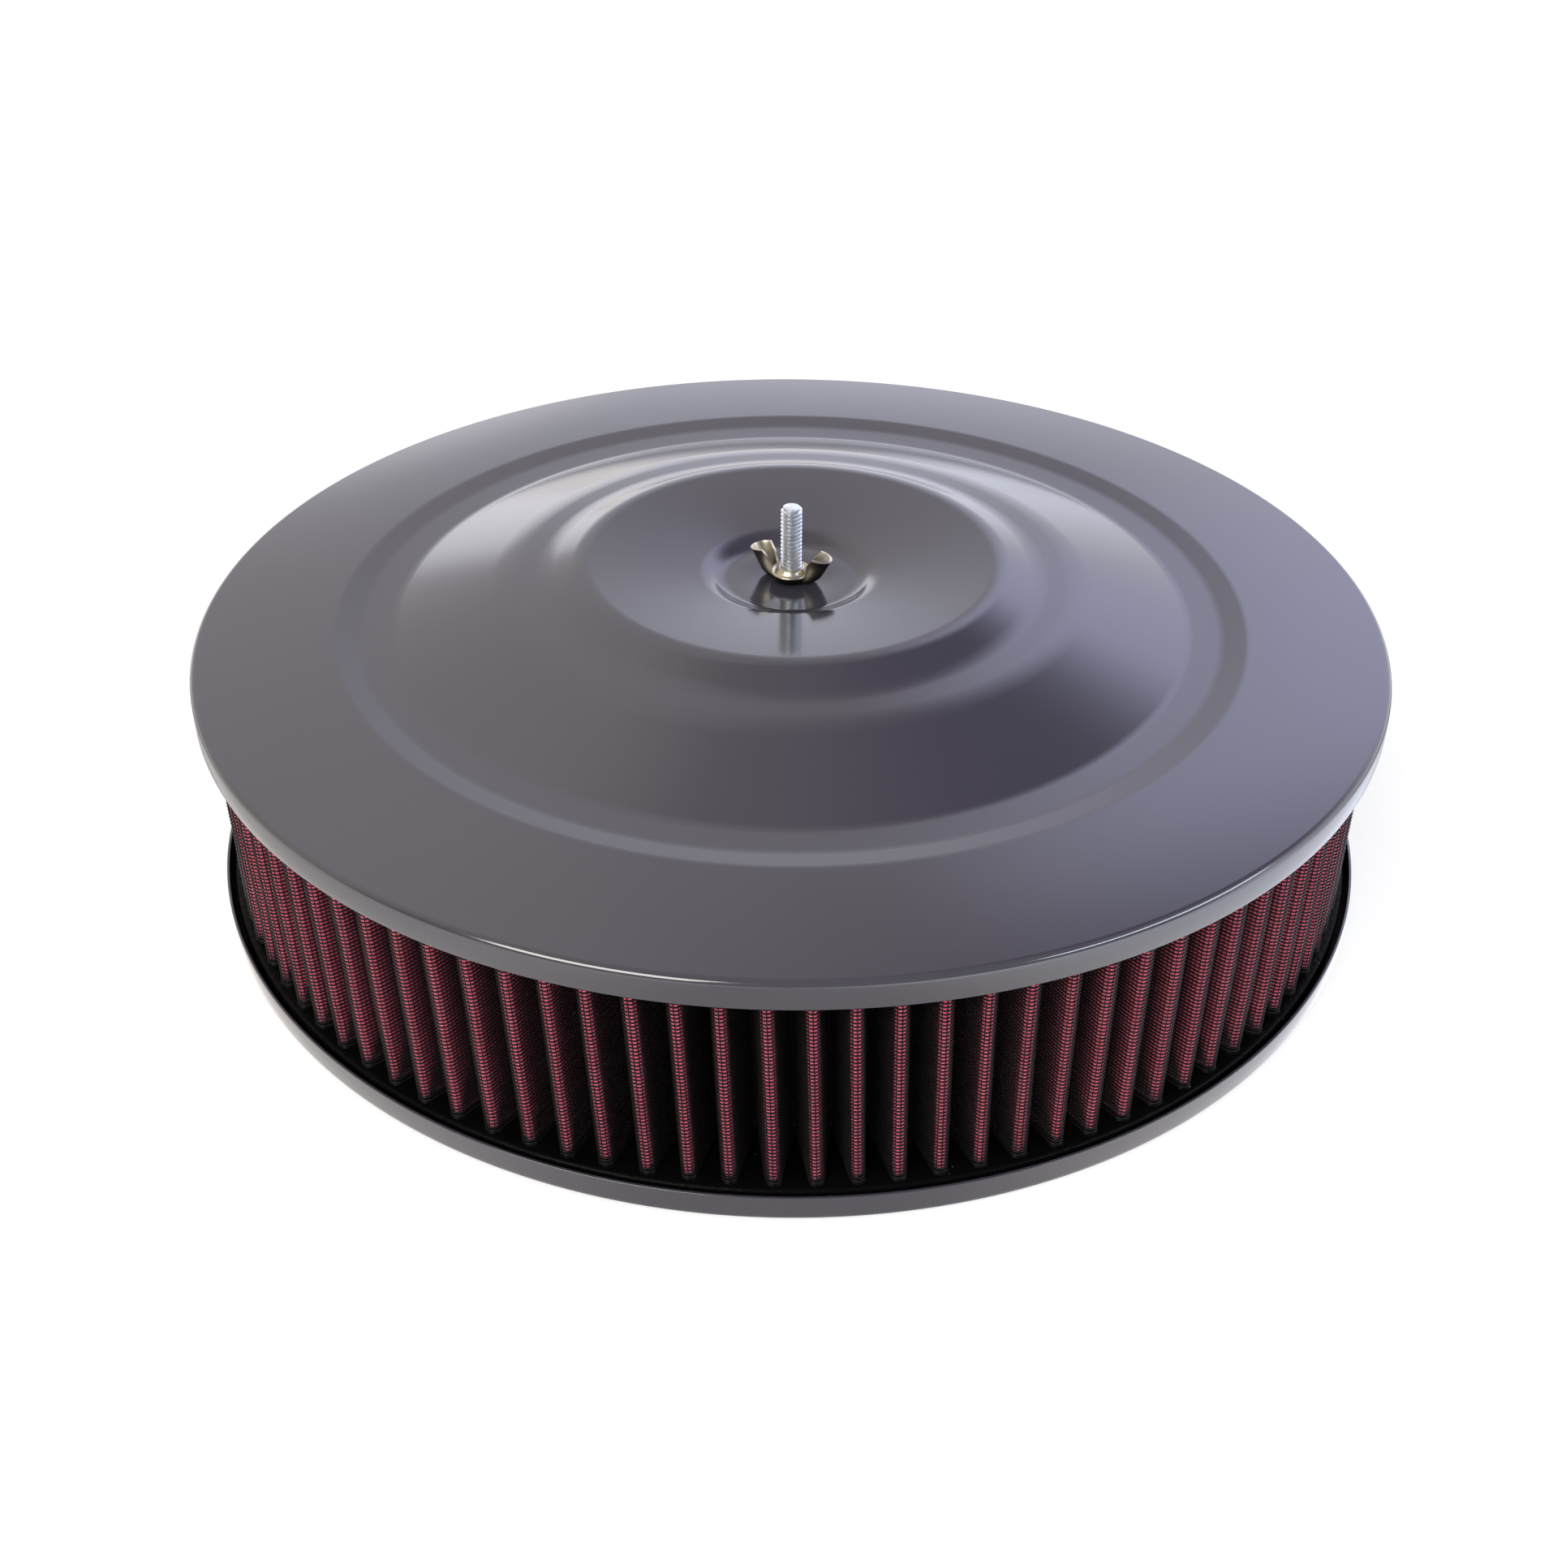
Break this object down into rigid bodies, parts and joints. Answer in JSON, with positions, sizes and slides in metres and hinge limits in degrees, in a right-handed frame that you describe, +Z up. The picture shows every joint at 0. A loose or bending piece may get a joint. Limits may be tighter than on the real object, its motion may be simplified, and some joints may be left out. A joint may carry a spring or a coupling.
{
  "type": "round carburettor air cleaner",
  "caption": "Round drop-base air cleaner: pleated filter element between two gloss black pressed covers, clamped by a central stud and wing nut.",
  "frame": {"origin": "bottom centre: on the stud's axis, at the underside of the base's rim, where the part stands", "axes": "+Z up along the stud towards the wing nut, -Y towards the viewer of the picture"},
  "size_m": [0.3556, 0.3556, 0.1112],
  "materials": {
    "black_enamel": "gloss black baked enamel on pressed steel",
    "gasket_rubber": "matt black gasket rubber",
    "moulded_cap": "satin black moulded urethane",
    "red_gauze": "oiled red cotton gauze between wire screens",
    "zinc_steel": "bright zinc plated steel",
    "nickel_steel": "warm bright plated pressed steel"
  },
  "bodies": {
    "housing": {"base_plate": "black_enamel", "neck_gasket": "gasket_rubber", "bottom_end_cap": "moulded_cap", "pleated_media": "red_gauze", "top_end_cap": "moulded_cap", "lid": "black_enamel"},
    "stud": {"stud": "zinc_steel"},
    "wing_nut": {"wing_nut": "nickel_steel"}
  },
  "joints": [
    {"name": "nut_turn", "type": "hinge", "parent": "housing", "child": "wing_nut", "pos_m": [0, 0, 0.0875], "axis": [0, 0, 1], "range_deg": [-2160, 5760]},
    {"name": "stud_travel", "type": "slide", "parent": "housing", "child": "stud", "axis": [0, 0, 1], "range_m": [-0.0205, 0.0077]}
  ],
  "couplings": [
    {"joint": "stud_travel", "follows": "nut_turn", "m_per_rad": -0.00020213}
  ]
}
